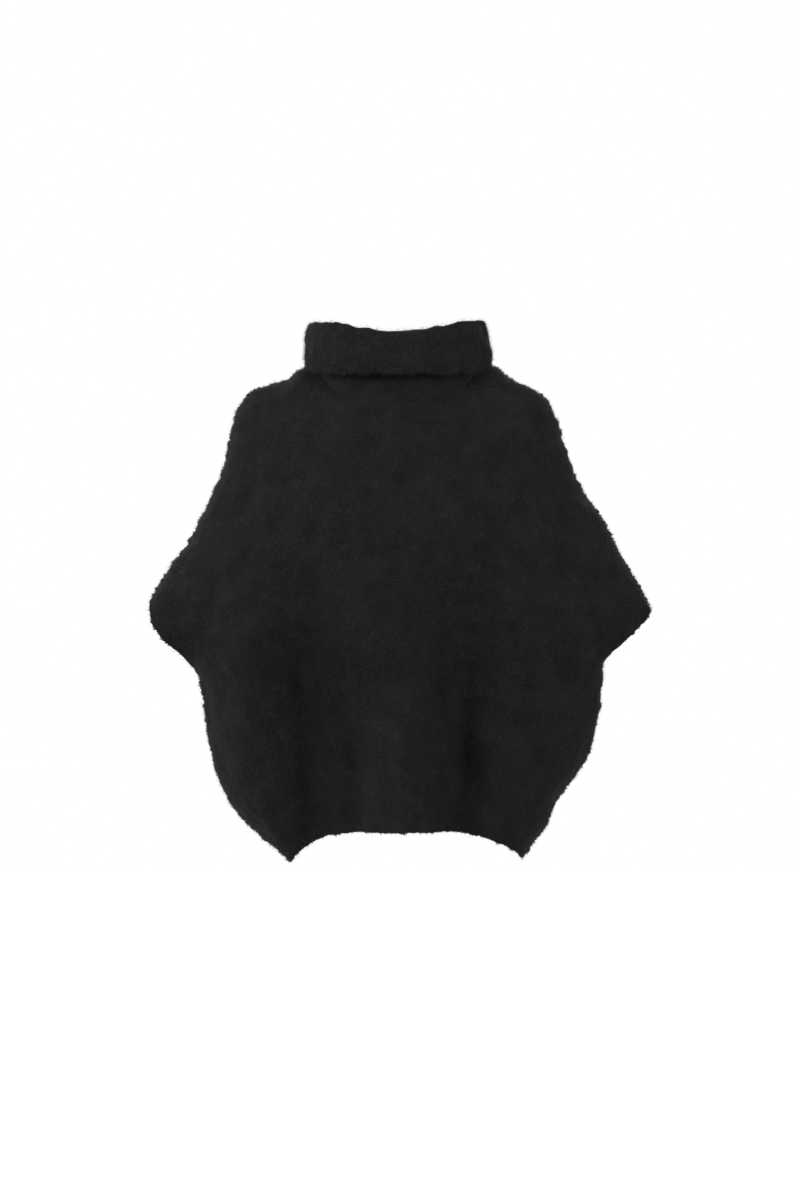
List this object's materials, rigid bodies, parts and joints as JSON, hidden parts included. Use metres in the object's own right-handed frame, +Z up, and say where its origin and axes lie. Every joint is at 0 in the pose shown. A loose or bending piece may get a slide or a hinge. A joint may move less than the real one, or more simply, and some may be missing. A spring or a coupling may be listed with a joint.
{
  "type": "turtleneck poncho sweater",
  "caption": "Loose brushed-knit poncho with a folded turtleneck, wide batwing sleeve openings and a narrow curved hem, in its hollow worn shape.",
  "frame": {"origin": "midway between the wearer's shoulders, where the poncho hangs from them, in the middle of its depth", "axes": "+Z up, -Y out of the front, +X towards the viewer's right as the front is seen, which is the wearer's left"},
  "size_m": [0.7264, 0.2993, 0.7789],
  "materials": {
    "brushed_knit": "brushed black mohair knit, matt with a soft halo of hairs"
  },
  "bodies": {
    "root": {"front_panel": "brushed_knit", "back_panel": "brushed_knit", "turtleneck_collar": "brushed_knit"}
  },
  "joints": []
}
